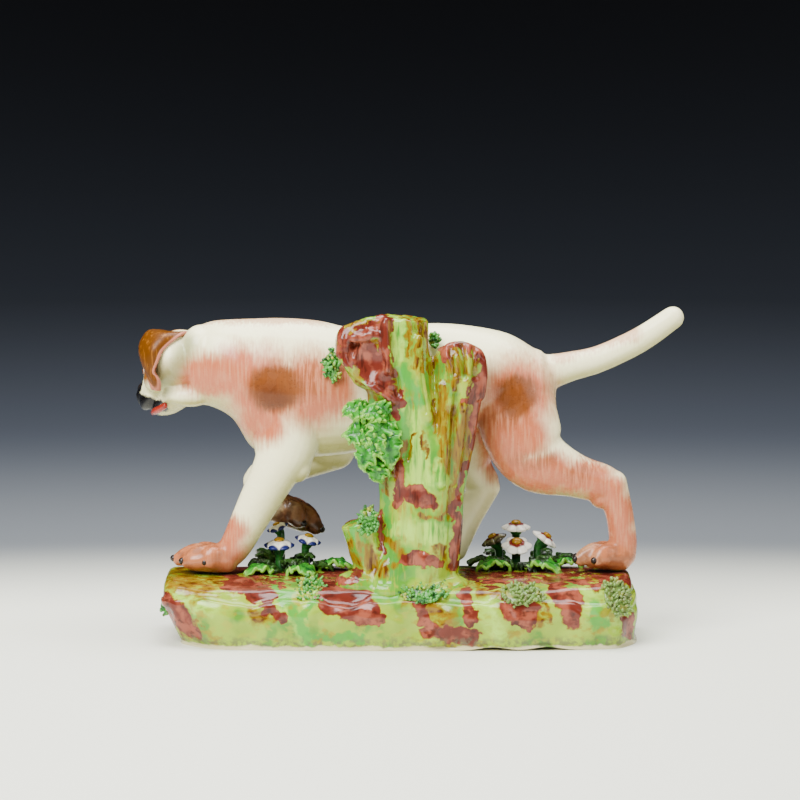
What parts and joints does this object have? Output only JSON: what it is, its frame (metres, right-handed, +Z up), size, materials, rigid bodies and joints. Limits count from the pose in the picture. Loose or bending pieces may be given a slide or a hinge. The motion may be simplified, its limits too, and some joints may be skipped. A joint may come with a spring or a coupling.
{
  "type": "dog figurine",
  "caption": "Glazed porcelain pointer stalking over a rockwork base, held up by a tree stump with boughs, leaves, moss and flowers.",
  "frame": {"origin": "on the rest plane, under the middle of the figure's bounding box", "axes": "the dog faces -X with its tail towards +X, the side with the tree stump faces -Y, +Z is up"},
  "size_m": [0.1702, 0.0573, 0.1016],
  "materials": {
    "white_porcelain": "glossy clear glaze over white porcelain, painted with salmon and brown patches",
    "salmon_enamel": "glossy salmon enamel brushed over the glaze",
    "brown_enamel": "glossy red-brown enamel",
    "tongue_enamel": "glossy red enamel",
    "rock_glaze": "glossy apple green glaze with iron red and ochre streaks, foot edge unglazed",
    "bark_glaze": "glossy apple green glaze with iron red and ochre streaks",
    "knot_enamel": "glossy dark red-brown enamel",
    "leaf_enamel": "glossy green enamel",
    "moss_enamel": "glossy pale green enamel",
    "petal_enamel": "glossy white glaze with painted edges and a yellow heart"
  },
  "bodies": {
    "root": {"rockwork_base": "rock_glaze", "dog_body": "white_porcelain", "dog_head": "white_porcelain", "lower_jaw": "white_porcelain", "tongue": "tongue_enamel", "near_ear": "brown_enamel", "far_ear": "brown_enamel", "tail": "white_porcelain", "near_foreleg": "white_porcelain", "far_foreleg": "white_porcelain", "near_hind_leg": "salmon_enamel", "far_hind_leg": "white_porcelain", "tree_stump": "bark_glaze", "side_bough": "bark_glaze", "cut_knot": "knot_enamel", "branch_stub": "bark_glaze", "stump_leaf_1": "leaf_enamel", "stump_leaf_2": "leaf_enamel", "stump_leaf_3": "leaf_enamel", "stump_leaf_4": "leaf_enamel", "stump_leaf_5": "leaf_enamel", "stump_leaf_6": "leaf_enamel", "left_leaf_1": "leaf_enamel", "left_leaf_2": "leaf_enamel", "left_leaf_3": "leaf_enamel", "right_leaf_1": "leaf_enamel", "right_leaf_2": "leaf_enamel", "right_leaf_3": "leaf_enamel", "left_blossom_1": "petal_enamel", "left_blossom_2": "petal_enamel", "left_blossom_3": "petal_enamel", "right_blossom_1": "petal_enamel", "right_blossom_2": "petal_enamel", "right_blossom_3": "petal_enamel", "right_blossom_4": "petal_enamel", "left_stem_1": "leaf_enamel", "left_stem_2": "leaf_enamel", "left_stem_3": "leaf_enamel", "right_stem_1": "leaf_enamel", "right_stem_2": "leaf_enamel", "right_stem_3": "leaf_enamel", "right_stem_4": "leaf_enamel", "flank_moss": "moss_enamel", "fork_moss": "moss_enamel", "stub_moss": "moss_enamel", "front_left_moss": "moss_enamel", "front_middle_moss": "moss_enamel", "front_right_moss": "moss_enamel", "heel_end_moss": "moss_enamel", "toe_end_moss": "moss_enamel"}
  },
  "joints": []
}
